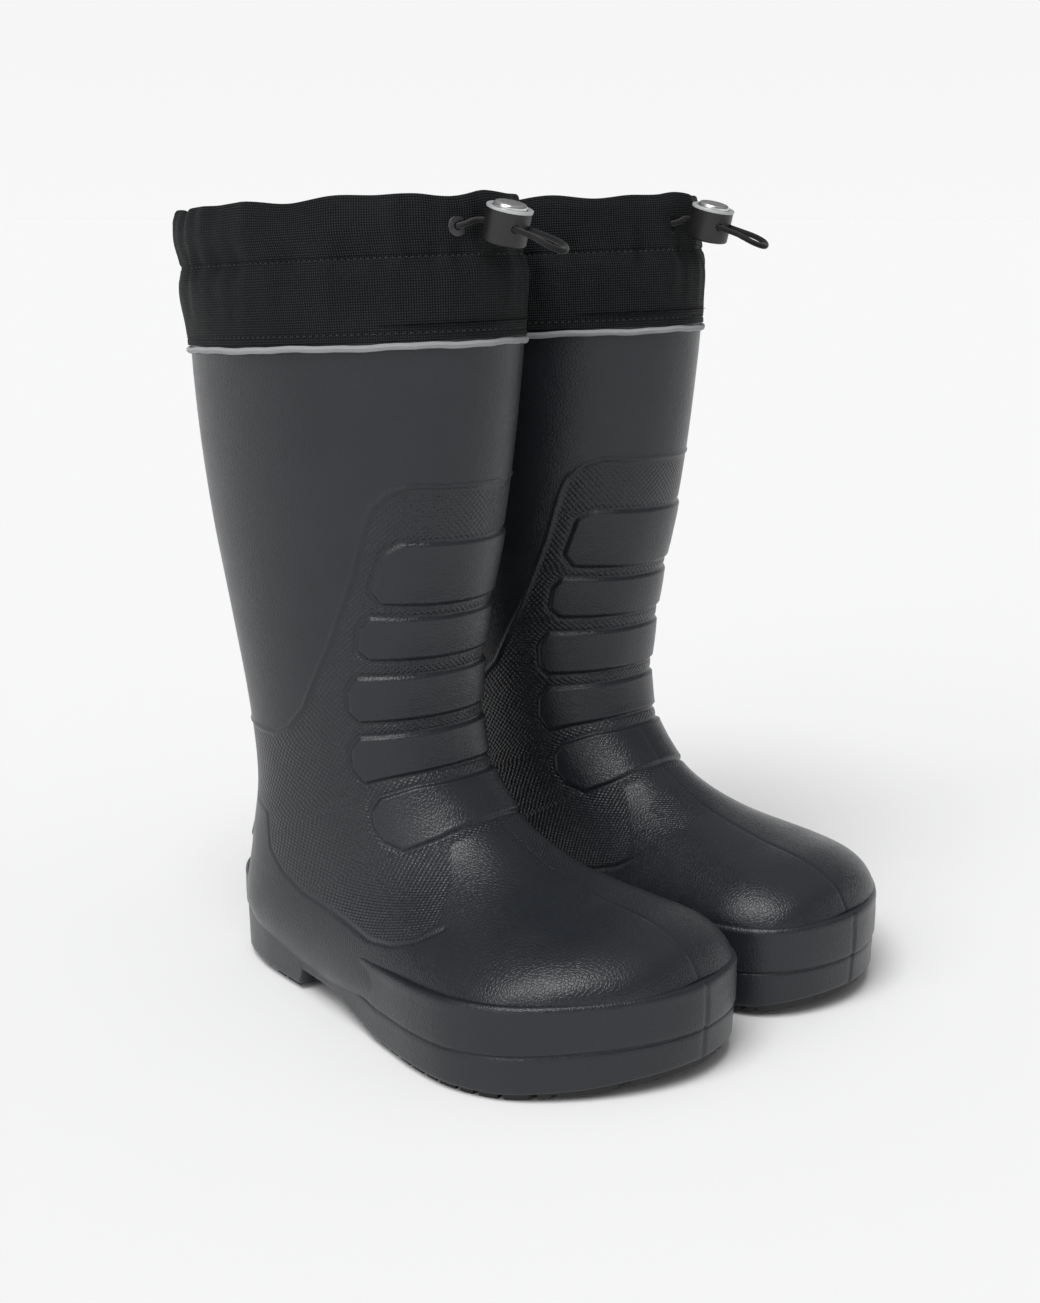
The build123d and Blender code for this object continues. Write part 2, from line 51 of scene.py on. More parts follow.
COLLAR_TILT = math.radians(3.0)
RIM_HEIGHT = 9.0
STRAND_OFFSET = 4.2
CORD_RADIUS = 1.3
EYELET_U = (-18.0, 6.0)
LOCK_U = -6.0
LOCK_STAND_OFF = 105.5
LOCK_LEAN = math.radians(18.0)
CHANNEL_HEIGHT = 50.0
SHELL_WALL = 6.0

# --- Surface relief of the shell (mm) ---
PAD_RISE = 1.2
PAD_CROWN = 0.2
PAD_GROOVE = 0.7
QUARTER_RIDGE = 0.8
QUARTER_STEP = 0.12
RAND_GROOVE = 0.6
SEAM_GROOVE = 0.55

# --- Heel pad for pushing the boot off (mm) ---
SPUR_HALF_WIDTH = 15.5
SPUR_MIDDLE_Z = 65.5
SPUR_STAND = 5.5
SPUR_SQUARENESS = 0.45
SPUR_POINTS = 64

# --- Collar, hem, piping (mm) ---
HEM_HEIGHT = 64.4
WALL_HEIGHTS = (2.2, HEM_HEIGHT)
SEAM_HEIGHT = 38.0
RIM_STITCH_HEIGHT = 5.5
FABRIC_THICKNESS = 1.1
LINING_SKIN = 0.9
PIPING_HALF_LENGTH = 92.4
PIPING_HALF_WIDTH = 63.2
PIPING_RADIUS = 1.5
PIPING_STEPS = 480
PIPING_AROUND = 18

# --- The boot's form ---
# front y, z,  back y, z,  half width,  front and back roundness,  ridge u,  base u
FORM_SECTIONS = np.array([
    (-80.7, 337.0, 105.4, 327.0, 61.5, 2.1, 2.1, 0.0, 0.0),
    (-74.3, 280.0, 100.5, 274.0, 59.0, 2.1, 2.1, 0.0, 0.0),
    (-67.5, 235.0, 93.0, 228.0, 55.8, 2.1, 2.1, 0.0, 0.0),
    (-57.5, 192.0, 81.5, 181.0, 51.8, 2.1, 2.1, 0.0, 0.0),
    (-51.5, 158.0, 71.5, 135.0, 48.2, 2.2, 2.1, 0.5, 0.0),
    (-50.8, 136.0, 68.5, 95.0, 45.6, 2.3, 2.1, 2.0, 0.0),
    (-56.5, 117.0, 75.5, 60.0, 44.6, 2.35, 2.15, 3.0, 0.0),
    (-70.0, 100.0, 80.0, 22.0, 44.0, 2.5, 2.2, 4.0, -1.0),
    (-86.0, 88.5, 44.0, 6.0, 46.0, 2.4, 2.3, 4.5, -4.0),
    (-108.0, 78.0, -20.0, 4.0, 55.0, 2.2, 2.4, 5.0, -9.0),
    (-138.0, 70.5, -104.0, 4.0, 63.5, 2.15, 2.4, 7.0, -11.0),
    (-163.0, 66.0, -133.8, 6.0, 61.0, 2.2, 2.4, 8.0, -3.0),
    (-181.0, 58.0, -158.6, 12.0, 48.0, 2.3, 2.4, 8.0, 5.0),
    (-189.5, 46.0, -176.8, 20.0, 32.0, 2.4, 2.4, 9.0, 9.0),
])
SOLE_PLAN = [
    (0, 91), (-12, 86.5), (-23.5, 74), (-33, 54), (-38.7, 33), (-43.2, 12), (-49, -11), (-57, -38),
    (-66, -66), (-74, -95), (-76, -120), (-68, -146), (-49, -168), (-23, -186), (5, -194), (34, -189),
    (54, -174), (61, -148), (58, -116), (52, -86), (48, -57), (46, -29), (45, -4), (42.5, 18),
    (38.2, 37), (32.5, 57), (24.5, 75.5), (13, 86.8),
]
RIM_LEVELS = [(-196, 46.0), (-130, 43.5), (-60, 39.5), (20, 40.5), (96, 46.5)]
STEP_LEVELS = [(-196, 25.0), (-130, 20.5), (-60, 19.0), (20, 26.0), (96, 26.0)]
GROUND_LEVELS = [(-196, 10.5), (-170, 5.5), (-140, 3.0), (-55, 3.0), (-14, 11.0), (14, 11.0), (15.5, 3.0), (96, 3.0)]
PAD_FRONT_Y = -100.0
SHIN_PADS = [
    [(PAD_FRONT_Y, 225), (-52, 227.5), (-45, 223), (-38, 205), (-41, 199), (PAD_FRONT_Y, 196)],
    [(PAD_FRONT_Y, 190), (-36, 192.5), (-31.5, 187), (-29.5, 177), (-34, 172.5), (PAD_FRONT_Y, 173)],
    [(PAD_FRONT_Y, 166), (-28, 163.5), (-23.5, 157), (-23.5, 147), (-27.5, 142.5), (PAD_FRONT_Y, 148)],
    [(PAD_FRONT_Y, 142), (-27, 134.5), (-23, 129), (-23, 120), (-28.5, 113), (-39, 116.5), (PAD_FRONT_Y, 132)],
    [(PAD_FRONT_Y, 122), (-49, 112), (-36, 106.5), (-32.5, 100), (-34, 93), (-40, 87.5), (-51, 84.5),
     (-63, 90.5), (-74, 98), (PAD_FRONT_Y, 112)],
]
QUARTER_LINE = [(-100, 252), (-57, 253.5), (-49, 250), (-42, 243), (-39, 236), (-31, 212), (-16, 177),
                (1, 146), (12, 135), (23, 130), (37, 129.5), (120, 129.5)]
RAND_LINE = [(52, 92), (35, 87.5), (33, 70), (23, 60.5), (7, 53.6), (-29, 48.4), (-49, 46.7), (-66, 49),
             (-80, 53.6), (-92, 61)]
CELL_REGION = [(-100, 252), (120, 252), (120, 100), (52, 92), (35, 87.5), (33, 70), (23, 60.5), (7, 53.6),
               (-29, 48.4), (-49, 46.7), (-66, 49), (-80, 53.6), (-90, 62), (-72, 88), (-100, 106)]
COLLAR_SECTIONS = np.array([
    (2.0, 93.4, 64.0, 0.0),
    (17.0, 94.0, 64.6, 0.0),
    (31.0, 93.6, 64.4, 0.0),
    (38.0, 91.8, 63.2, 0.5),
    (50.0, 93.6, 64.8, 2.5),
    (60.0, 93.2, 64.4, 2.3),
    (65.0, 91.8, 63.0, 2.0),
])
LINING_SECTIONS = np.array([
    (11.5, 90.0, 60.4, 0.0),
    (34.0, 89.6, 60.4, 0.4),
    (44.0, 87.4, 58.6, 1.6),
    (62.9, 87.4, 58.6, 2.0),
])
LOOP_ROUTE = [
    (-STRAND_OFFSET, -11.5, 0.0),
    (-STRAND_OFFSET, 19.0, 0.0),
    (-5.4, 25.0, -0.5),
    (-4.9, 31.0, -1.5),
    (0.0, 34.6, -2.5),
    (4.9, 31.0, -1.5),
    (5.4, 25.0, -0.5),
    (STRAND_OFFSET, 19.0, 0.0),
    (STRAND_OFFSET, -11.5, 0.0),
]
MM = 0.001


# ------------------------------------------------------------------ frames and small maths
def row(points):
    """Boot millimetres to row metres, for the right boot."""
    return (np.asarray(points, float) + np.array([BOOT_X, BOOT_Y, 0.0])) * MM


COLLAR_UP = np.array([0.0, math.sin(COLLAR_TILT), math.cos(COLLAR_TILT)])
COLLAR_BACK = np.array([0.0, math.cos(COLLAR_TILT), -math.sin(COLLAR_TILT)])
ACROSS = np.array([1.0, 0.0, 0.0])


def collar(u, v, height):
    """Collar frame (mm) to boot millimetres; works on arrays."""
    u, v, height = np.broadcast_arrays(np.asarray(u, float), np.asarray(v, float), np.asarray(height, float))
    centre = np.array([0.0, COLLAR_CENTRE_Y, COLLAR_CENTRE_Z])
    return centre + u[..., None] * ACROSS + v[..., None] * COLLAR_BACK + height[..., None] * COLLAR_UP


LOCK_UP = -math.sin(LOCK_LEAN) * COLLAR_BACK + math.cos(LOCK_LEAN) * COLLAR_UP
LOCK_OUT = -math.cos(LOCK_LEAN) * COLLAR_BACK - math.sin(LOCK_LEAN) * COLLAR_UP
LOCK_MIDDLE = collar(LOCK_U, -LOCK_STAND_OFF, CHANNEL_HEIGHT)


def lock_point(across, outwards, up):
    """Lock frame (mm, height from the strand level) to boot millimetres."""
    return LOCK_MIDDLE + across * ACROSS + outwards * LOCK_OUT + up * LOCK_UP


def eyelet_frame(u):
    """The foot and outward direction of an eyelet on the collar."""
    half_length, half_width, shift = COLLAR_SECTIONS[4][1:]
    v = shift - half_length * math.sqrt(1 - (u / half_width) ** 2)
    outward = np.array([u / half_width ** 2, (v - shift) / half_length ** 2])
    outward = outward / np.linalg.norm(outward)
    return collar(u, v, CHANNEL_HEIGHT), outward[0] * ACROSS + outward[1] * COLLAR_BACK


def smooth(low, high, value):
    """A smooth ramp from 0 at low to 1 at high."""
    t = np.clip((value - low) / (high - low), 0.0, 1.0)
    return t * t * (3 - 2 * t)


def catmull(rows, s):
    """Smooth interpolation through the rows of an array at the fractional indices s."""
    rows = np.asarray(rows, float)
    s = np.clip(np.asarray(s, float), 0, len(rows) - 1 - 1e-9)
    i = s.astype(int)
    t = (s - i)[:, None]
    last = len(rows) - 1
    p0, p1 = rows[np.clip(i - 1, 0, last)], rows[i]
    p2, p3 = rows[np.clip(i + 1, 0, last)], rows[np.clip(i + 2, 0, last)]
    return 0.5 * (2 * p1 + (p2 - p0) * t + (2 * p0 - 5 * p1 + 4 * p2 - p3) * t ** 2
                  + (3 * p1 - p0 - 3 * p2 + p3) * t ** 3)


def wave(seed, scale, points):
    """Smooth pseudo-random heights from -1 to 1 over points, from a few crossed sine waves."""
    rng = random.Random(seed)
    total = np.zeros(points.shape[:-1])
    for _ in range(6):
        direction = np.array([rng.uniform(-1, 1) for _ in range(3)])
        direction = direction / np.linalg.norm(direction)
        length = scale * rng.uniform(0.7, 1.5)
        total += np.sin(points @ direction * (2 * math.pi / length) + rng.uniform(0, 6.28))
    return total / 6 * 1.6


def inside_distance(polygon, y, z):
    """Signed distance to a polygon in side view, positive inside."""
    px, pz = np.array(polygon, float).T
    best = np.full(y.shape, 1e9)
    inside = np.zeros(y.shape, bool)
    for k in range(len(px)):
        ax, az, bx, bz = px[k - 1], pz[k - 1], px[k], pz[k]
        dx, dz = bx - ax, bz - az
        t = np.clip(((y - ax) * dx + (z - az) * dz) / (dx * dx + dz * dz), 0, 1)
        best = np.minimum(best, np.hypot(y - ax - t * dx, z - az - t * dz))
        crosses = (az > z) != (bz > z)
        with np.errstate(divide="ignore", invalid="ignore"):
            where = dx * (z - az) / np.where(dz == 0, 1e-9, dz) + ax
        inside ^= crosses & (y < where)
    return np.where(inside, best, -best)


def line_distance(line, y, z):
    """Distance to an open line in side view."""
    best = np.full(y.shape, 1e9)
    for (ax, az), (bx, bz) in zip(line, line[1:]):
        dx, dz = bx - ax, bz - az
        t = np.clip(((y - ax) * dx + (z - az) * dz) / (dx * dx + dz * dz), 0, 1)
        best = np.minimum(best, np.hypot(y - ax - t * dx, z - az - t * dz))
    return best


def grid_normals(points):
    """Normals of a grid of points that is closed round its columns."""
    along = np.gradient(points, axis=0)
    around = np.roll(points, -1, axis=1) - np.roll(points, 1, axis=1)
    normals = np.cross(around, along)
    return normals / np.maximum(np.linalg.norm(normals, axis=2, keepdims=True), 1e-9)


# ------------------------------------------------------------------ meshes
def make_mesh(name, points, faces, attributes=None, shade_smooth=True):
    """A mesh object from boot millimetres."""
    data = bpy.data.meshes.new(name)
    data.from_pydata(row(points).tolist(), [], faces)
    data.validate()
    for key, values in (attributes or {}).items():
        layer = data.attributes.new(key, "FLOAT", "POINT")
        layer.data.foreach_set("value", np.asarray(values, np.float32).ravel())
    for polygon in data.polygons:
        polygon.use_smooth = shade_smooth
    piece = bpy.data.objects.new(name, data)
    bpy.context.scene.collection.objects.link(piece)
    return piece


def grid_faces(rows, columns, offset=0, closed_rows=False):
    """Quads over a grid closed round its columns, and round its rows if asked."""
    faces = []
    for i in range(rows if closed_rows else rows - 1):
        a = offset + i * columns
        b = offset + ((i + 1) % rows) * columns
        for j in range(columns):
            k = (j + 1) % columns
            faces.append((a + j, a + k, b + k, b + j))
    return faces


def ring_mesh(name, rings, attributes=None):
    """A closed skin that joins rings of points; the last ring joins back to the first."""
    rings = np.asarray(rings, float)
    faces = grid_faces(rings.shape[0], rings.shape[1], closed_rows=True)
    return make_mesh(name, rings.reshape(-1, 3), faces, attributes)


def mirrored(piece, name):
    """The same piece for the left boot."""
    data = piece.data.copy()
    data.name = name
    if piece.type == "MESH":
        co = np.empty(len(data.vertices) * 3)
        data.vertices.foreach_get("co", co)
        co = co.reshape(-1, 3)
        co[:, 0] *= -1
        data.vertices.foreach_set("co", co.ravel())
        data.flip_normals()
    else:
        for spline in data.splines:
            for point in spline.points:
                point.co.x *= -1
    copy = bpy.data.objects.new(name, data)
    bpy.context.scene.collection.objects.link(copy)
    return copy


def finish_pair(piece, stem, body="boot", replaces=()):
    """Names a right-boot piece, makes its left twin, and rides and replaces for both."""
    piece.name = f"right_{stem}"
    piece.data.name = f"right_{stem}"
    twin = mirrored(piece, f"left_{stem}")
    for side, one in (("right", piece), ("left", twin)):
        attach(one, f"{side}_{body}")
        if replaces:
            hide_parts(*[f"{side}_{node}" for node in replaces])
    return piece, twin


# ------------------------------------------------------------------ materials
def new_material(name):
    material = bpy.data.materials.new(name)
    material.use_nodes = True
    nodes, links = material.node_tree.nodes, material.node_tree.links
    return material, nodes, links, nodes["Principled BSDF"]


def ramp(nodes, links, source, stops):
    node = nodes.new("ShaderNodeValToRGB")
    while len(node.color_ramp.elements) < len(stops):
        node.color_ramp.elements.new(0.5)
    for element, (place, colour) in zip(node.color_ramp.elements, stops):
        element.position = place
        element.color = (*colour, 1) if len(colour) == 3 else colour
    links.new(source, node.inputs["Fac"])
    return node.outputs["Color"]


def noise(nodes, links, coords, scale, detail=4.0, rough=0.5):
    node = nodes.new("ShaderNodeTexNoise")
    node.inputs["Scale"].default_value = scale
    node.inputs["Detail"].default_value = detail
    node.inputs["Roughness"].default_value = rough
    links.new(coords, node.inputs["Vector"])
    return node.outputs["Fac"]


def math_node(nodes, links, operation, a, b=None, clamp=False):
    node = nodes.new("ShaderNodeMath")
    node.operation = operation
    node.use_clamp = clamp
    for socket, value in zip(node.inputs, (a, b)):
        if value is None:
            continue
        if isinstance(value, (int, float)):
            socket.default_value = value
        else:
            links.new(value, socket)
    return node.outputs[0]


def bump(nodes, links, height, strength, distance, below=None):
    node = nodes.new("ShaderNodeBump")
    node.inputs["Strength"].default_value = strength
    node.inputs["Distance"].default_value = distance
    links.new(height, node.inputs["Height"])
    if below is not None:
        links.new(below, node.inputs["Normal"])
    return node.outputs["Normal"]


def object_coords(nodes):
    return nodes.new("ShaderNodeTexCoord").outputs["Object"]


def foam_material(name, honey=True, tint=1.0):
    """Moulded foam with a leather-like grain, and a fine cell pattern where the mesh asks for it."""
    material, nodes, links, shader = new_material(name)
    coords = object_coords(nodes)
    grain = nodes.new("ShaderNodeTexVoronoi")
    grain.feature = "DISTANCE_TO_EDGE"
    grain.inputs["Scale"].default_value = 620.0
    grain.inputs["Randomness"].default_value = 1.0
    links.new(coords, grain.inputs["Vector"])
    grain_height = math_node(nodes, links, "MINIMUM", grain.outputs["Distance"], 0.22)
    soft = noise(nodes, links, coords, 60.0, 5.0)
    wide = noise(nodes, links, coords, 9.0, 3.0)
    colour = ramp(nodes, links, wide, [
        (0.3, (0.0130 * tint, 0.0150 * tint, 0.0186 * tint)), (0.7, (0.0175 * tint, 0.0200 * tint, 0.0243 * tint))])
    mix = nodes.new("ShaderNodeMixRGB")
    mix.blend_type = "MULTIPLY"
    mix.inputs["Fac"].default_value = 0.35
    links.new(colour, mix.inputs["Color1"])
    links.new(ramp(nodes, links, soft, [(0.3, (0.72, 0.72, 0.73)), (0.7, (1.0, 1.0, 1.0))]), mix.inputs["Color2"])
    final = mix.outputs["Color"]
    rough = math_node(nodes, links, "MULTIPLY_ADD", soft, 0.16)
    rough.node.inputs[2].default_value = 0.24
    links.new(rough, shader.inputs["Roughness"])
    normal = bump(nodes, links, soft, 0.12, 0.0009)
    normal = bump(nodes, links, grain_height, 0.6, 0.0006, normal)
    if honey:
        mask = nodes.new("ShaderNodeAttribute")
        mask.attribute_name = "honey"
        cells = nodes.new("ShaderNodeTexVoronoi")
        cells.feature = "F1"
        cells.voronoi_dimensions = "2D"
        cells.inputs["Scale"].default_value = 0.47
        cells.inputs["Randomness"].default_value = 0.06
        turn = nodes.new("ShaderNodeMapping")
        turn.inputs["Rotation"].default_value = (0, 0, math.radians(45))
        links.new(nodes.new("ShaderNodeUVMap").outputs["UV"], turn.inputs["Vector"])
        links.new(turn.outputs["Vector"], cells.inputs["Vector"])
        cell_height = math_node(nodes, links, "SUBTRACT", 0.6, cells.outputs["Distance"])
        masked = math_node(nodes, links, "MULTIPLY", cell_height, mask.outputs["Fac"])
        normal = bump(nodes, links, masked, 0.6, 0.0010, normal)
        dark = nodes.new("ShaderNodeMixRGB")
        dark.blend_type = "MULTIPLY"
        links.new(math_node(nodes, links, "MULTIPLY", mask.outputs["Fac"], 0.02), dark.inputs["Fac"])
        links.new(final, dark.inputs["Color1"])
        dark.inputs["Color2"].default_value = (0.55, 0.56, 0.58, 1)
        final = dark.outputs["Color"]
    links.new(final, shader.inputs["Base Color"])
    links.new(normal, shader.inputs["Normal"])
    shader.inputs["Specular IOR Level"].default_value = 0.42
    return material


def rubber_material(name):
    material, nodes, links, shader = new_material(name)
    coords = object_coords(nodes)
    fine = noise(nodes, links, coords, 700.0, 3.0)
    wide = noise(nodes, links, coords, 14.0, 3.0)
    links.new(ramp(nodes, links, wide, [(0.3, (0.010, 0.010, 0.011)), (0.7, (0.018, 0.018, 0.019))]),
              shader.inputs["Base Color"])
    rough = math_node(nodes, links, "MULTIPLY_ADD", fine, 0.2)
    rough.node.inputs[2].default_value = 0.5
    links.new(rough, shader.inputs["Roughness"])
    links.new(bump(nodes, links, fine, 0.35, 0.0004), shader.inputs["Normal"])
    return material


def woven_material(name, dark, light, threads_mm, rough=0.62, sheen=0.3, crinkle=0.5, angle=0.0):
    """Plain weave drawn from two crossed sets of threads in the surface's own UV, in millimetres."""
    material, nodes, links, shader = new_material(name)
    coords = nodes.new("ShaderNodeUVMap")
    turn = nodes.new("ShaderNodeMapping")
    turn.inputs["Rotation"].default_value = (0, 0, angle)
    links.new(coords.outputs["UV"], turn.inputs["Vector"])
    heights = []
    for direction in ("X", "Y"):
        thread = nodes.new("ShaderNodeTexWave")
        thread.wave_type = "BANDS"
        thread.bands_direction = direction
        thread.inputs["Scale"].default_value = 0.314 / threads_mm
        thread.inputs["Distortion"].default_value = 0.25
        thread.inputs["Detail"].default_value = 1.0
        links.new(turn.outputs["Vector"], thread.inputs["Vector"])
        heights.append(thread.outputs["Fac"])
    weave = math_node(nodes, links, "MULTIPLY", heights[0], heights[1])
    place = object_coords(nodes)
    wide = noise(nodes, links, place, 26.0, 4.0)
    creases = noise(nodes, links, place, 110.0, 6.0, 0.6)
    tone = math_node(nodes, links, "MULTIPLY_ADD", weave, 0.85)
    links.new(math_node(nodes, links, "MULTIPLY", wide, 0.35), tone.node.inputs[2])
    links.new(ramp(nodes, links, tone, [(0.25, dark), (0.8, light)]), shader.inputs["Base Color"])
    shader.inputs["Roughness"].default_value = rough
    shader.inputs["Sheen Weight"].default_value = sheen
    shader.inputs["Sheen Roughness"].default_value = 0.45
    shader.inputs["Specular IOR Level"].default_value = 0.12
    normal = bump(nodes, links, creases, crinkle, 0.0016)
    normal = bump(nodes, links, weave, 0.9, 0.0006, normal)
    links.new(normal, shader.inputs["Normal"])
    return material


def felt_material(name, dark, light):
    material, nodes, links, shader = new_material(name)
    coords = object_coords(nodes)
    fibres = noise(nodes, links, coords, 900.0, 8.0, 0.7)
    wide = noise(nodes, links, coords, 40.0, 5.0)
    links.new(ramp(nodes, links, wide, [(0.3, dark), (0.7, light)]), shader.inputs["Base Color"])
    shader.inputs["Roughness"].default_value = 0.95
    shader.inputs["Sheen Weight"].default_value = 0.6
    links.new(bump(nodes, links, fibres, 0.8, 0.0008), shader.inputs["Normal"])
    return material


def plastic_material(name, dark, light, rough, coat=0.0):
    material, nodes, links, shader = new_material(name)
    coords = object_coords(nodes)
    fine = noise(nodes, links, coords, 1500.0, 2.0)
    wide = noise(nodes, links, coords, 90.0, 4.0)
    links.new(ramp(nodes, links, wide, [(0.3, dark), (0.7, light)]), shader.inputs["Base Color"])
    spread = math_node(nodes, links, "MULTIPLY_ADD", wide, 0.15)
    spread.node.inputs[2].default_value = rough - 0.07
    links.new(spread, shader.inputs["Roughness"])
    shader.inputs["Coat Weight"].default_value = coat
    links.new(bump(nodes, links, fine, 0.2, 0.0001), shader.inputs["Normal"])
    return material


def metal_material(name, dark, light, rough):
    material, nodes, links, shader = new_material(name)
    coords = object_coords(nodes)
    wide = noise(nodes, links, coords, 300.0, 5.0)
    links.new(ramp(nodes, links, wide, [(0.3, dark), (0.7, light)]), shader.inputs["Base Color"])
    shader.inputs["Metallic"].default_value = 1.0
    spread = math_node(nodes, links, "MULTIPLY_ADD", wide, 0.2)
    spread.node.inputs[2].default_value = rough - 0.1
    links.new(spread, shader.inputs["Roughness"])
    links.new(bump(nodes, links, wide, 0.1, 0.0001), shader.inputs["Normal"])
    return material


FOAM = foam_material("moulded_foam")
SOLE_FOAM = foam_material("sole_foam", honey=False, tint=1.06)
RUBBER = rubber_material("black_rubber")
NYLON = woven_material("black_nylon", (0.0025, 0.003, 0.0034), (0.034, 0.0375, 0.040), 1.15, 0.6, 0.0, 0.8)
LINING = woven_material("lining_knit", (0.010, 0.011, 0.012), (0.022, 0.023, 0.024), 0.8, 0.85, 0.4, 0.3)
PIPING = woven_material("piping_tape", (0.42, 0.43, 0.445), (0.74, 0.75, 0.77), 0.45, 0.45, 0.2, 0.1, 0.6)
CORD = woven_material("drawcord_braid", (0.010, 0.010, 0.011), (0.026, 0.026, 0.028), 0.5, 0.7, 0.3, 0.1, 0.78)
THREAD = woven_material("sewing_thread", (0.012, 0.012, 0.013), (0.035, 0.036, 0.038), 0.3, 0.6, 0.2, 0.1)
FELT = felt_material("liner_felt", (0.055, 0.056, 0.06), (0.10, 0.10, 0.105))
FOOTBED = felt_material("footbed_felt", (0.08, 0.08, 0.08), (0.13, 0.13, 0.13))
LOCK_BLACK = plastic_material("lock_black", (0.008, 0.008, 0.009), (0.014, 0.014, 0.015), 0.38)
LOCK_RING = plastic_material("lock_ring", (0.36, 0.365, 0.375), (0.48, 0.485, 0.49), 0.28, 0.4)
# The lock cap's light silver colour is a painted reflection: it stands in for an overhead softbox mirrored in the
# cap's glossy dome.
LOCK_CAP_REFLECTION = metal_material("lock_cap", (0.58, 0.58, 0.57), (0.74, 0.74, 0.73), 0.24)
NICKEL = metal_material("nickel", (0.045, 0.045, 0.048), (0.10, 0.10, 0.105), 0.36)
SPRING = metal_material("spring_wire", (0.45, 0.45, 0.46), (0.6, 0.6, 0.61), 0.3)


def paint(piece, material):
    piece.data.materials.clear()
    piece.data.materials.append(material)


def add_uv(piece, u_values, v_values):
    """UVs in millimetres from one u and v per vertex."""
    layer = piece.data.uv_layers.new(name="UVMap")
    index = np.empty(len(piece.data.loops), int)
    piece.data.loops.foreach_get("vertex_index", index)
    uv = np.stack([np.asarray(u_values, float).ravel()[index], np.asarray(v_values, float).ravel()[index]], axis=1)
    layer.data.foreach_set("uv", uv.ravel())


# ------------------------------------------------------------------ the boot's form
COLUMNS = 448
ROWS = 540
RIDGE_FADE = 3.0


def form_rings(s, angles, inset=0.0):
    """Points of the form at fractional sections s and the given angles, drawn in by inset."""
    values = catmull(FORM_SECTIONS, s)
    front, back = values[:, 0:2], values[:, 2:4]
    half_width, front_round, back_round = values[:, 4], values[:, 5], values[:, 6]
    ridge, base = values[:, 7], values[:, 8]
    middle, reach = (front + back) / 2, (back - front) / 2
    half_length = np.linalg.norm(reach, axis=1)
    cosine, sine = np.cos(angles)[None, :], np.sin(angles)[None, :]
    power = 2 / np.where(cosine > 0, front_round[:, None], back_round[:, None])
    lengthwise = -np.sign(cosine) * np.abs(cosine) ** power
    across = np.sign(sine) * np.abs(sine) ** power
    centre = base[:, None] + (ridge - base)[:, None] * ((1 - lengthwise) / 2) ** RIDGE_FADE
    scale = ((half_length - inset) / half_length)[:, None]
    u = centre + across * (half_width - inset)[:, None]
    yz = middle[:, None, :] + (lengthwise * scale)[:, :, None] * reach[:, None, :]
    return np.concatenate([u[:, :, None], yz], axis=2)


def even_stations(start, end, count, inset=0.0):
    """Fractional sections spaced evenly along the form's front and back."""
    fine = np.linspace(start, end, 1200)
    edges = form_rings(fine, np.array([0.0, math.pi]), inset)
    steps = np.linalg.norm(np.diff(edges, axis=0), axis=2)
    travel = np.concatenate([[0], np.cumsum(steps.mean(axis=1) * 0.6 + steps.max(axis=1) * 0.4)])
    return np.interp(np.linspace(0, travel[-1], count), travel, fine)


def trim_height(points, height):
    """Lowers points above a plane of the collar's frame onto it."""
    centre = np.array([0.0, COLLAR_CENTRE_Y, COLLAR_CENTRE_Z])
    above = (points - centre) @ COLLAR_UP - height
    return points - np.maximum(above, 0)[..., None] * COLLAR_UP


FRONT_SEAM_U = [(-58, 4), (-104, 5), (-160, 8), (-194, 8)]


def shell_relief(points, normals):
    """How far each point of the shell stands out, and where the cell pattern shows."""
    u, y, z = points[..., 0], points[..., 1], points[..., 2]
    relief = np.zeros(y.shape)
    pads = np.full(y.shape, -1e9)
    for outline in SHIN_PADS:
        pads = np.maximum(pads, inside_distance(outline, y, z))
    relief += PAD_RISE * smooth(-0.5, 1.0, pads) + PAD_CROWN * smooth(1.0, 8.0, pads)
    relief -= PAD_GROOVE * np.exp(-((pads + 1.0) / 0.8) ** 2)
    quarter = inside_distance(QUARTER_LINE + [(120, 420), (-100, 420)], y, z)
    relief += QUARTER_RIDGE * np.exp(-(quarter / 0.75) ** 2) + QUARTER_STEP * smooth(-0.6, 0.9, quarter)
    rand = line_distance(RAND_LINE, y, z)
    relief -= RAND_GROOVE * np.exp(-(rand / 0.9) ** 2)
    seam_u = np.interp(-y, [-place for place, _ in FRONT_SEAM_U], [value for _, value in FRONT_SEAM_U])
    on_vamp = smooth(56, 62, -y) * smooth(125, 118, z) * smooth(0.2, 0.5, normals[..., 2])
    relief -= SEAM_GROOVE * np.exp(-((u - seam_u) / 0.8) ** 2) * on_vamp
    below_rim = (points - np.array([0.0, COLLAR_CENTRE_Y, COLLAR_CENTRE_Z])) @ COLLAR_UP
    relief *= smooth(-3.0, -10.0, below_rim)  # flat under the collar, so nothing pokes through it
    cells = smooth(1.0, 2.5, inside_distance(CELL_REGION, y, z)) * smooth(-1.0, -2.2, pads)
    cells = cells * smooth(-1.2, -2.2, quarter) * smooth(1.2, 2.2, rand)
    # a second patch of cells on top of the foot, below the last pad
    patch = smooth(-84, -86, y) * smooth(-108, -106, y) * smooth(-1, 0.5, u - seam_u + 3) * smooth(31, 29, u)
    honey = np.clip(np.maximum(cells, patch * smooth(64, 68, z)), 0, 1)
    return relief, honey


angles = np.linspace(0, 2 * math.pi, COLUMNS, endpoint=False)
first = 0.05
outer = form_rings(even_stations(first, len(FORM_SECTIONS) - 1, ROWS), angles)
outer = trim_height(outer, RIM_HEIGHT)
normals = grid_normals(outer)
if np.mean(np.einsum("ijk,ijk->ij", normals, outer - outer.mean(axis=1, keepdims=True))) < 0:
    normals = -normals
relief, honey = shell_relief(outer, normals)
fade = smooth(0, 6, np.arange(ROWS))[:, None]
outer = outer + normals * (relief * fade)[..., None]

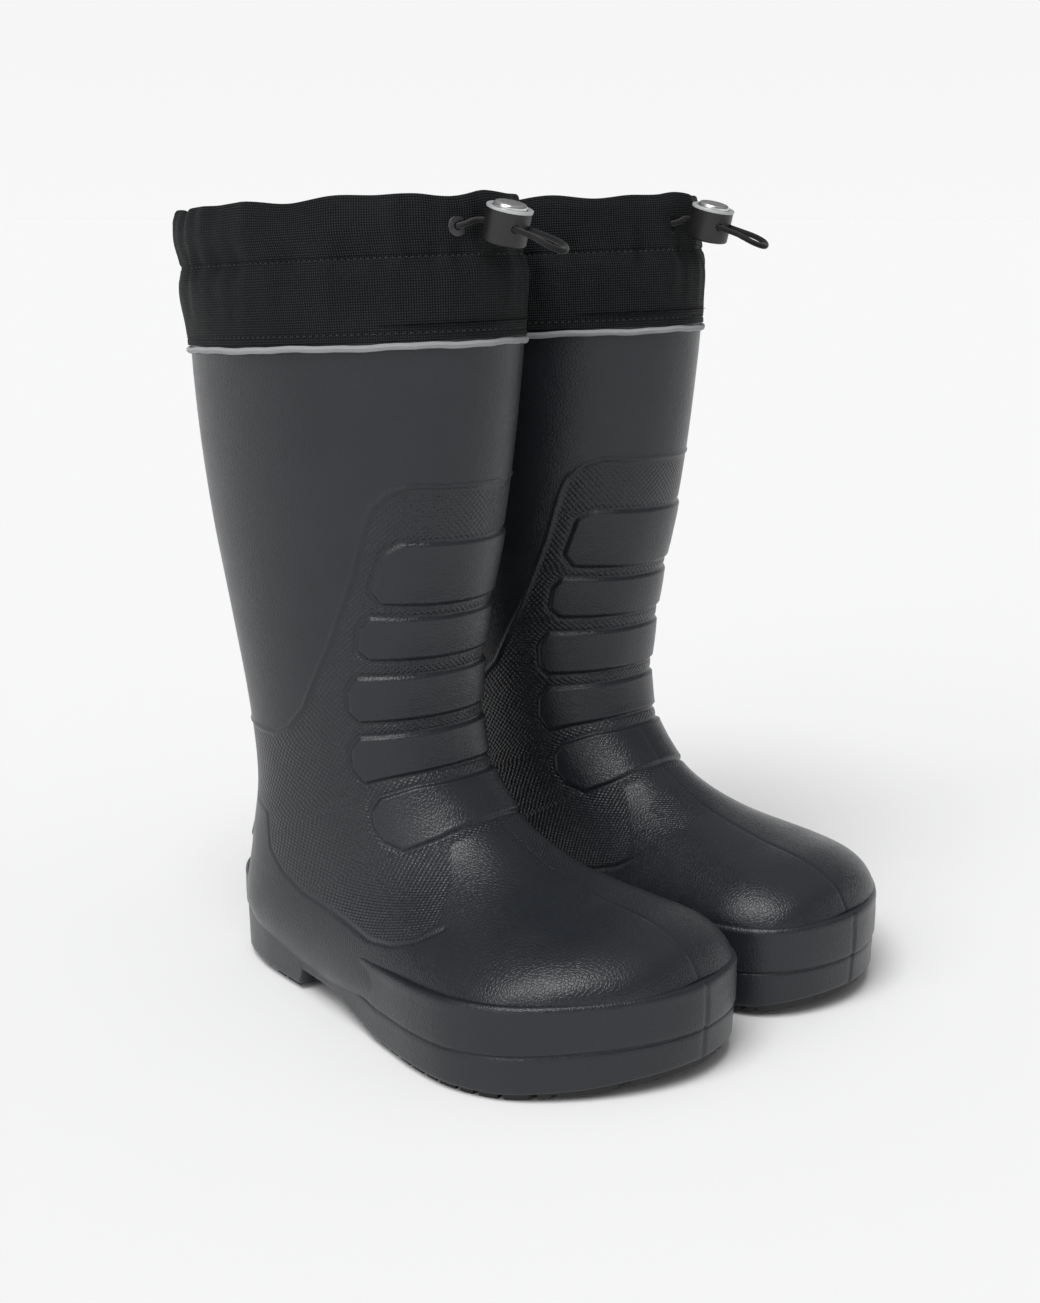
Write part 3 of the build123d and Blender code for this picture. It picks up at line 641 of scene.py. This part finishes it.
# the rim turns over into the inner face, which runs down behind the liner
inner = form_rings(even_stations(first, 5.0, 60), angles, SHELL_WALL)
inner = trim_height(inner, RIM_HEIGHT)
cap = outer[-1].mean(axis=0)
shell_points = np.concatenate([inner[::-1].reshape(-1, 3), outer.reshape(-1, 3), cap[None]])
shell_faces = grid_faces(len(inner) + ROWS, COLUMNS)
tip = len(shell_points) - 1
last_ring = (len(inner) + ROWS - 1) * COLUMNS
shell_faces += [(last_ring + j, last_ring + (j + 1) % COLUMNS, tip) for j in range(COLUMNS)]
shell_honey = np.concatenate([np.zeros(inner.shape[:2]).ravel(), honey.ravel(), [0]])
shell = make_mesh("shell", shell_points, shell_faces, {"honey": shell_honey})
around = np.linalg.norm(np.roll(outer, -1, axis=1) - outer, axis=2).cumsum(axis=1)
around = np.minimum(around, around[:, -1:] - around)
down = np.linalg.norm(np.diff(outer, axis=0), axis=2).mean(axis=1).cumsum()
down = np.concatenate([[0], down])[:, None] + 0 * around
inside_zeros = np.zeros(inner.shape[0] * COLUMNS)
add_uv(shell, np.concatenate([inside_zeros, around.ravel(), [0]]),
       np.concatenate([inside_zeros, down.ravel(), [down.max()]]))
paint(shell, FOAM)
finish_pair(shell, "shell_foam", replaces=["shell"])


# ------------------------------------------------------------------ sole unit
def plan_points(count):
    """Even points and outward directions round the sole's plan outline."""
    knots = np.array(SOLE_PLAN, float)
    fine = np.linspace(0, len(knots), 2400, endpoint=False)
    i = fine.astype(int)
    t = (fine - i)[:, None]
    n = len(knots)
    p0, p1, p2, p3 = knots[(i - 1) % n], knots[i % n], knots[(i + 1) % n], knots[(i + 2) % n]
    dense = 0.5 * (2 * p1 + (p2 - p0) * t + (2 * p0 - 5 * p1 + 4 * p2 - p3) * t ** 2
                   + (3 * p1 - p0 - 3 * p2 + p3) * t ** 3)
    steps = np.linalg.norm(np.roll(dense, -1, axis=0) - dense, axis=1)
    travel = np.concatenate([[0], np.cumsum(steps)])
    loop = np.concatenate([dense, dense[:1]])
    places = np.linspace(0, travel[-1], count, endpoint=False)
    plan = np.stack([np.interp(places, travel, loop[:, k]) for k in range(2)], axis=1)
    ahead = np.roll(plan, -1, axis=0) - np.roll(plan, 1, axis=0)
    ahead /= np.linalg.norm(ahead, axis=1, keepdims=True)
    return plan, np.stack([ahead[:, 1], -ahead[:, 0]], axis=1)


def level(levels, y):
    places, heights = zip(*levels)
    return np.interp(y, places, heights)


def sole_ring(plan, outward, inset, heights):
    flat = plan - outward * np.broadcast_to(inset, len(plan))[:, None]
    return np.stack([flat[:, 0], flat[:, 1], heights], axis=1)


SOLE_COLUMNS = 560
plan, outward = plan_points(SOLE_COLUMNS)
rim_z, step_z, ground_z = (level(table, plan[:, 1]) for table in (RIM_LEVELS, STEP_LEVELS, GROUND_LEVELS))
toe_groove = np.exp(-(((plan[:, 0] - 8) / 0.9) ** 2)) * (plan[:, 1] < -150)
rings = []
for inset, height in ((30, rim_z - 3.0), (9, rim_z - 1.6), (5.5, rim_z - 0.7), (3.6, rim_z - 0.15), (2.2, rim_z),
                      (1.0, rim_z - 0.5), (0.3, rim_z - 1.5), (0.0, rim_z - 3.0)):
    rings.append(sole_ring(plan, outward, inset + 0.7 * toe_groove, height))
for share in np.linspace(0.1, 1.0, 8):
    swell = 0.5 * math.sin(math.pi * share)
    rings.append(sole_ring(plan, outward, 0.25 - swell * 0.4 + 0.9 * toe_groove,
                           rim_z - 3.0 + (step_z + 1.2 - rim_z + 3.0) * share))
for inset, rise in ((0.5, 0.5), (1.3, 0.1), (1.7, -0.5), (1.3, -1.1), (1.0, -1.6)):
    rings.append(sole_ring(plan, outward, inset + 0.9 * toe_groove, step_z + rise))
for share in np.linspace(0.15, 1.0, 8):
    rings.append(sole_ring(plan, outward, 1.0 + 0.6 * share + 0.9 * toe_groove,
                           step_z - 1.6 + (ground_z + 1.2 - step_z + 1.6) * share))
for inset, rise in ((2.0, 0.4), (2.8, 0.05), (4.5, 0.0), (12, 0.0), (30, 0.0)):
    rings.append(sole_ring(plan, outward, inset, ground_z + rise))
rings = np.array(rings)


def close_inside(ring):
    """Pulls a ring onto the sole's long axis, so that a wide plan closes without crossing itself."""
    axis_u = np.interp(-ring[:, 1], [-85, 0, 120, 190], [0, -3, -8, 8])
    return np.stack([axis_u, np.clip(ring[:, 1], -150, 70), ring[:, 2]], axis=1)


top_close = close_inside(rings[1])
low_close = close_inside(rings[-2])
rings[0] = rings[1] + (top_close - rings[1]) * 0.5
rings[-1] = rings[-2] + (low_close - rings[-2]) * 0.5
sole_rings = np.concatenate([top_close[None], rings, low_close[None]])
sole = ring_mesh("sole", sole_rings)
paint(sole, SOLE_FOAM)
finish_pair(sole, "sole_unit")

# ------------------------------------------------------------------ heel pad
pad_rows = []
SPUR_STEPS = ((0.0, 15.5, 8.0), (0.6, 15.5, 8.0), (1.0, 15.0, 7.5), (0.9, 13.0, 5.5), (0.5, 11.0, 4.0))
for depth, half_u, half_z in SPUR_STEPS:
    ring = []
    for k in range(SPUR_POINTS):
        angle = 2 * math.pi * k / SPUR_POINTS
        cosine, sine = math.cos(angle), math.sin(angle)
        u = half_u * math.copysign(abs(cosine) ** SPUR_SQUARENESS, cosine)
        dz = half_z * math.copysign(abs(sine) ** SPUR_SQUARENESS, sine)
        z = SPUR_MIDDLE_Z + dz
        back = 75.5 + (z - 60) * -0.1 + depth * SPUR_STAND - (u / SPUR_HALF_WIDTH) ** 2 * 3.0 - dz * 0.25
        ring.append((u, back if depth else 66.0, z))
    pad_rows.append(ring)
pad_rows = np.array(pad_rows)
spur_faces = grid_faces(len(pad_rows), SPUR_POINTS)
spur_points = np.concatenate([pad_rows.reshape(-1, 3), pad_rows[-1].mean(axis=0)[None]])
last_ring = (len(pad_rows) - 1) * SPUR_POINTS
spur_faces += [(last_ring + j, last_ring + (j + 1) % SPUR_POINTS, len(spur_points) - 1) for j in range(SPUR_POINTS)]
spur = make_mesh("spur", spur_points, spur_faces)
paint(spur, SOLE_FOAM)
finish_pair(spur, "heel_pad")

# ------------------------------------------------------------------ liner and footbed
liner_columns = 192
liner_angles = np.linspace(0, 2 * math.pi, liner_columns, endpoint=False)
liner_end = 11.6
outside = trim_height(form_rings(even_stations(0.3, liner_end, 110, 6.3), liner_angles, 6.4), -4.0)
inside = trim_height(form_rings(even_stations(0.3, liner_end, 110, 12.3), liner_angles, 12.0), -2.6)
inside[..., 2] = np.maximum(inside[..., 2], 29.0)
outside[..., 2] = np.maximum(outside[..., 2], 22.6)
inward = -grid_normals(inside)
inside += (wave(3, 38.0, inside) * 0.5 + wave(4, 17.0, inside) * 0.25)[..., None] * inward
liner_points = np.concatenate([outside[::-1], inside])
toe_out, toe_in = liner_points[0].mean(axis=0), liner_points[-1].mean(axis=0)
flat = np.concatenate([liner_points.reshape(-1, 3), toe_out[None], toe_in[None]])
liner_faces = grid_faces(len(liner_points), liner_columns)
last_ring = (len(liner_points) - 1) * liner_columns
liner_faces += [((j + 1) % liner_columns, j, len(flat) - 2) for j in range(liner_columns)]
liner_faces += [(last_ring + j, last_ring + (j + 1) % liner_columns, len(flat) - 1) for j in range(liner_columns)]
liner = make_mesh("liner", flat, liner_faces)
paint(liner, FELT)
for piece in finish_pair(liner, "felt_liner", replaces=["liner"]):
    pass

footbed_plan = plan - outward * 18.0
footbed_plan = footbed_plan[::4]
footbed_rings = []
for shrink, height in ((2.0, 29.3), (0.4, 29.6), (0.0, 30.6), (0.2, 32.2), (1.2, 33.0), (4.0, 33.2), (14.0, 33.2)):
    out = outward[::4]
    ring = footbed_plan - out * min(shrink, 4.0)
    if shrink > 5:
        ring = ring + (np.stack([np.interp(-ring[:, 1], [-70, 0, 120, 170], [0, -3, -8, 4]),
                                 np.clip(ring[:, 1], -140, 60)], axis=1) - ring) * 0.6
    footbed_rings.append(np.stack([ring[:, 0], ring[:, 1], np.full(len(ring), height)], axis=1))
bottom = footbed_rings[-1].copy()
bottom[:, 2] = 29.3
footbed = ring_mesh("footbed", np.array(footbed_rings + [bottom]))
paint(footbed, FOOTBED)
for piece in finish_pair(footbed, "felt_footbed", replaces=["footbed"]):
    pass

# ------------------------------------------------------------------ collar
COLLAR_COLUMNS = 640
collar_angles = np.linspace(0, 2 * math.pi, COLLAR_COLUMNS, endpoint=False)


def collar_ring(sections, heights, inset=0.0):
    """Rings of the collar at the given heights; the angle runs from the front towards the other boot."""
    table = np.asarray(sections)
    s = np.interp(heights, table[:, 0], np.arange(len(table)))
    values = catmull(table, s)
    v = values[:, 3:4] - (values[:, 1:2] - inset) * np.cos(collar_angles)[None, :]
    u = (values[:, 2:3] - inset) * np.sin(collar_angles)[None, :]
    return u, v


def collar_folds(heights, seed):
    """Ripples of the gathered fabric: long soft folds, tighter near the channel's two seams."""
    rng = random.Random(seed)
    height = heights[:, None]
    near_seam = np.exp(-((height - SEAM_HEIGHT) / 7.0) ** 2)
    near_top = smooth(52, 64, height)
    folds = np.zeros((len(heights), COLLAR_COLUMNS))
    for _ in range(16):
        count = rng.randint(9, 46)
        phase = rng.uniform(0, 6.28)
        drift = rng.uniform(-0.035, 0.035)
        size = rng.uniform(0.4, 1.0) * 6.0 / (count ** 0.75)
        along = 0.35 + 0.9 * near_seam + 0.25 * near_top
        folds += size * along * np.sin(count * collar_angles[None, :] + phase + drift * (height - SEAM_HEIGHT) * 2)
    return folds * 0.9


wall_heights = np.linspace(*WALL_HEIGHTS, 90)
u, v = collar_ring(COLLAR_SECTIONS, wall_heights, 0.2)
folds = collar_folds(wall_heights, 11)
held = smooth(7, 24, wall_heights)[:, None]
bulge = np.exp(-((wall_heights - 26) / 10.0) ** 2)[:, None]
bulge = bulge * (0.6 + 0.6 * smooth(-0.2, -1.0, np.cos(collar_angles))[None, :])
puff = np.clip(folds * held + 1.2 * bulge + 1.1 * smooth(14, 40, wall_heights)[:, None], -2.2, 3.6)
stitch_dip = 0.9 * np.exp(-((wall_heights - SEAM_HEIGHT) / 0.9) ** 2)
stitch_dip = stitch_dip + 0.5 * np.exp(-((wall_heights - RIM_STITCH_HEIGHT) / 0.8) ** 2)
puff = puff - stitch_dip[:, None]
outward_u, outward_v = np.sin(collar_angles)[None, :], -np.cos(collar_angles)[None, :]
top_wave = 0.8 * np.sin(7 * collar_angles + 1.0) + 0.6 * np.sin(13 * collar_angles + 2.2) - 0.9
rise = wall_heights[:, None] + smooth(48, 64, wall_heights)[:, None] * top_wave[None, :]
outer_wall = collar(u + puff * outward_u, v + puff * outward_v, rise)
inner_puff = puff - FABRIC_THICKNESS
inner_wall = collar(u + inner_puff * outward_u, v + inner_puff * outward_v, rise)
hem_u, hem_v = collar_ring(COLLAR_SECTIONS, np.full(6, HEM_HEIGHT), 0.2)
hem_depth = np.array([0.5, 1.6, 3.0, 4.2, 5.0, 5.4])[:, None]
hem_rise = np.array([0.45, 0.6, 0.55, 0.3, -0.2, -1.2])[:, None]
edge_puff = puff[-1:]
hem = collar(hem_u + (edge_puff - hem_depth) * outward_u, hem_v + (edge_puff - hem_depth) * outward_v,
             HEM_HEIGHT + top_wave[None, :] + hem_rise)
hem_under = collar(hem_u[:4] + (edge_puff - hem_depth[4:0:-1]) * outward_u,
                   hem_v[:4] + (edge_puff - hem_depth[4:0:-1]) * outward_v,
                   HEM_HEIGHT + top_wave[None, :] + hem_rise[4:0:-1] - 1.0)
collar_rings = np.concatenate([outer_wall, hem, hem_under, inner_wall[::-1]])
collar_piece = ring_mesh("collar", collar_rings)
arc = np.linalg.norm(np.roll(outer_wall[40], -1, axis=0) - outer_wall[40], axis=1)
arc = np.concatenate([[0], np.cumsum(arc)])[:-1]
depth_v = np.concatenate([wall_heights, HEM_HEIGHT + hem_depth[:, 0],
                          HEM_HEIGHT + hem_depth[4:0:-1, 0], wall_heights[::-1]])
add_uv(collar_piece, np.broadcast_to(arc, (len(collar_rings), COLLAR_COLUMNS)),
       np.broadcast_to(depth_v[:, None], (len(collar_rings), COLLAR_COLUMNS)))
paint(collar_piece, NYLON)
COLLAR_LENGTH = float(arc[-1] + arc[1])
for piece in finish_pair(collar_piece, "collar_fabric", replaces=["collar"]):
    side = piece.name.split("_")[0]

lining_heights = np.linspace(11.7, 62.4, 60)
u, v = collar_ring(LINING_SECTIONS, lining_heights, 0.0)
lining_puff = collar_folds(lining_heights, 23) * 0.35 - 0.6
face = collar(u + lining_puff * outward_u, v + lining_puff * outward_v, lining_heights[:, None])
rear_puff = lining_puff + LINING_SKIN
rear = collar(u + rear_puff * outward_u, v + rear_puff * outward_v, lining_heights[:, None])
lining = ring_mesh("lining", np.concatenate([face, rear[::-1]]))
lining_v = np.concatenate([lining_heights, lining_heights[::-1]])
add_uv(lining, np.broadcast_to(arc, (120, COLLAR_COLUMNS)), np.broadcast_to(lining_v[:, None], (120, COLLAR_COLUMNS)))
paint(lining, LINING)
for piece in finish_pair(lining, "collar_inner", replaces=["collar_lining"]):
    side = piece.name.split("_")[0]

# ------------------------------------------------------------------ piping
twist = np.linspace(0, 2 * math.pi, PIPING_AROUND, endpoint=False)
tube = []
for angle in np.linspace(0, 2 * math.pi, PIPING_STEPS, endpoint=False):
    centre_u, centre_v = PIPING_HALF_WIDTH * math.sin(angle), -PIPING_HALF_LENGTH * math.cos(angle)
    out_u, out_v = PIPING_HALF_LENGTH * math.sin(angle), -PIPING_HALF_WIDTH * math.cos(angle)
    size = math.hypot(out_u, out_v)
    out_u, out_v = out_u / size, out_v / size
    rise = 0.25 * math.sin(9 * angle + 0.7) + 0.15 * math.sin(23 * angle)
    radius = PIPING_RADIUS * (1 + 0.02 * math.sin(61 * angle))
    tube.append(collar(centre_u + out_u * radius * np.cos(twist), centre_v + out_v * radius * np.cos(twist),
                       rise + radius * np.sin(twist)))
piping = ring_mesh("piping", np.array(tube))
piping_u = np.linspace(0, COLLAR_LENGTH, PIPING_STEPS)
add_uv(piping, np.broadcast_to(piping_u[:, None], (PIPING_STEPS, PIPING_AROUND)),
       np.broadcast_to(np.linspace(0, 9.4, PIPING_AROUND)[None, :], (PIPING_STEPS, PIPING_AROUND)))
paint(piping, PIPING)
finish_pair(piping, "piping_cord", replaces=["piping"])


# ------------------------------------------------------------------ stitching
def stitches(name, heights_and_counts):
    """Short thread stitches round the collar at given heights, as one mesh."""
    points, faces = [], []
    for height, count in heights_and_counts:
        index = int(np.argmin(np.abs(wall_heights - height)))
        loop = outer_wall[index]
        step = np.linalg.norm(np.roll(loop, -1, axis=0) - loop, axis=1)
        travel = np.concatenate([[0], np.cumsum(step)])
        closed_loop = np.concatenate([loop, loop[:1]])
        middle = loop.mean(axis=0)
        for k in range(count):
            begin = travel[-1] * k / count
            end = begin + travel[-1] / count * 0.68
            places = np.linspace(begin, end, 4)
            line = np.stack([np.interp(places, travel, closed_loop[:, axis]) for axis in range(3)], axis=1)
            away = line.mean(axis=0) - middle
            away = away - (away @ COLLAR_UP) * COLLAR_UP
            away = away / np.linalg.norm(away)
            for place, (spot, size, lift) in enumerate(zip(line, (0.12, 0.3, 0.3, 0.12), (-0.15, 0.3, 0.3, -0.15))):
                for corner in range(5):
                    turn = 2 * math.pi * corner / 5
                    outwards = away * (lift + size * math.cos(turn))
                    points.append(spot + outwards + COLLAR_UP * size * math.sin(turn))
                if place:
                    a = len(points) - 10
                    faces += [(a + c, a + (c + 1) % 5, a + 5 + (c + 1) % 5, a + 5 + c) for c in range(5)]
            base = len(points) - 20
            faces.append(tuple(base + c for c in range(4, -1, -1)))
            faces.append(tuple(base + 15 + c for c in range(5)))
    piece = make_mesh(name, np.array(points), faces)
    add_uv(piece, np.arange(len(points)) * 0.3, np.arange(len(points)) * 0.17)
    return piece


thread = stitches("stitches", [(RIM_STITCH_HEIGHT, 150), (SEAM_HEIGHT, 170)])
paint(thread, THREAD)
finish_pair(thread, "collar_stitches")

# ------------------------------------------------------------------ drawcord loop
first_foot, first_out = eyelet_frame(EYELET_U[0])
second_foot, second_out = eyelet_frame(EYELET_U[1])
CORD_INSIDE, CORD_OUTSIDE = -3.6, 5.5
route = [first_foot + first_out * CORD_INSIDE, first_foot + first_out * CORD_OUTSIDE]
route += [lock_point(*place) for place in LOOP_ROUTE]
route += [second_foot + second_out * CORD_OUTSIDE, second_foot + second_out * CORD_INSIDE]
curve = bpy.data.curves.new("drawcord", "CURVE")
curve.dimensions = "3D"
curve.bevel_depth = CORD_RADIUS * MM
curve.bevel_resolution = 6
curve.resolution_u = 16
curve.use_fill_caps = True
spline = curve.splines.new("NURBS")
spline.points.add(len(route) - 1)
for point, place in zip(spline.points, row(route)):
    point.co = (*place, 1)
spline.order_u = 3
spline.use_endpoint_u = True
loop = bpy.data.objects.new("drawcord", curve)
bpy.context.scene.collection.objects.link(loop)
loop.data.materials.append(CORD)
for piece in finish_pair(loop, "drawcord_free", replaces=["drawcord_loop"]):
    side = piece.name.split("_")[0]
    exit_point = row(route[0])
    if side == "left":
        exit_point = exit_point * np.array([-1, 1, 1])

# ------------------------------------------------------------------ CAD nodes that stay
for side in ("right", "left"):
    for node, material in (("forefoot_outsole", RUBBER), ("heel_outsole", RUBBER), ("lateral_eyelet", NICKEL),
                           ("medial_eyelet", NICKEL), ("lateral_eyelet_washer", NICKEL),
                           ("medial_eyelet_washer", NICKEL), ("drawcord_run", CORD), ("lock_body", LOCK_BLACK),
                           ("lock_bezel", LOCK_RING), ("lock_button", LOCK_BLACK), ("lock_button_cap", LOCK_CAP_REFLECTION),
                           ("lock_spring", SPRING)):
        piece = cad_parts[f"{side}_{node}"]
        for socket in piece.material_slots:
            socket.material = material

# ------------------------------------------------------------------ floor, lights, camera
FLOOR_SIZE = 60.0
floor_data = bpy.data.meshes.new("floor")
floor_data.from_pydata([(-FLOOR_SIZE, -FLOOR_SIZE, 0), (FLOOR_SIZE, -FLOOR_SIZE, 0), (FLOOR_SIZE, FLOOR_SIZE, 0),
                        (-FLOOR_SIZE, FLOOR_SIZE, 0)], [], [(0, 1, 2, 3)])
floor = bpy.data.objects.new("floor", floor_data)
bpy.context.scene.collection.objects.link(floor)
floor_material, nodes, links, shader = new_material("studio_floor")
shader.inputs["Base Color"].default_value = (0.935, 0.935, 0.935, 1)
shader.inputs["Roughness"].default_value = 1.0
shader.inputs["Specular IOR Level"].default_value = 0.0
paint(floor, floor_material)

world = bpy.data.worlds.new("studio")
world.use_nodes = True
nodes, links = world.node_tree.nodes, world.node_tree.links
place = nodes.new("ShaderNodeTexCoord")
split = nodes.new("ShaderNodeSeparateXYZ")
links.new(place.outputs["Generated"], split.inputs["Vector"])
sky = ramp(nodes, links, split.outputs["Z"], [(0.0, (0.935, 0.935, 0.935)), (0.13, (0.915, 0.915, 0.915)),
                                              (0.28, (0.16, 0.16, 0.165)), (1.0, (0.42, 0.42, 0.425))])
links.new(sky, nodes["Background"].inputs["Color"])
nodes["Background"].inputs["Strength"].default_value = 1.0
bpy.context.scene.world = world

def sun_light(name, place, strength, spread):
    """A distant soft light that shines from the direction of place."""
    data = bpy.data.lights.new(name, "SUN")
    data.energy = strength
    data.angle = math.radians(spread)
    lamp = bpy.data.objects.new(name, data)
    lamp.rotation_euler = (-Vector(place)).to_track_quat("-Z", "Y").to_euler()
    bpy.context.scene.collection.objects.link(lamp)


sun_light("key", (-1.0, -0.05, 0.6), 0.65, 44)
sun_light("top", (-0.42, -0.15, 0.85), 2.0, 36)

VIEW_ANGLE = math.radians(46.732)
VIEW_DISTANCE = 985.37
VIEW_HEIGHT = 372.49
VIEW_YAW = math.radians(1.403)
VIEW_PITCH = math.radians(12.488)
camera_data = bpy.data.cameras.new("camera")
camera_data.sensor_fit = "HORIZONTAL"
camera_data.sensor_width = 36.0
camera_data.lens = 36.0 * 1993.93 / 1040
camera = bpy.data.objects.new("camera", camera_data)
camera.location = (-math.sin(VIEW_ANGLE) * VIEW_DISTANCE * MM,
                   (-math.cos(VIEW_ANGLE) * VIEW_DISTANCE + BOOT_Y) * MM, VIEW_HEIGHT * MM)
heading = VIEW_ANGLE + VIEW_YAW
look = Vector((math.sin(heading) * math.cos(VIEW_PITCH), math.cos(heading) * math.cos(VIEW_PITCH),
               -math.sin(VIEW_PITCH)))
camera.rotation_euler = look.to_track_quat("-Z", "Y").to_euler()
bpy.context.scene.collection.objects.link(camera)
bpy.context.scene.camera = camera
bpy.context.scene.view_settings.view_transform = "Standard"
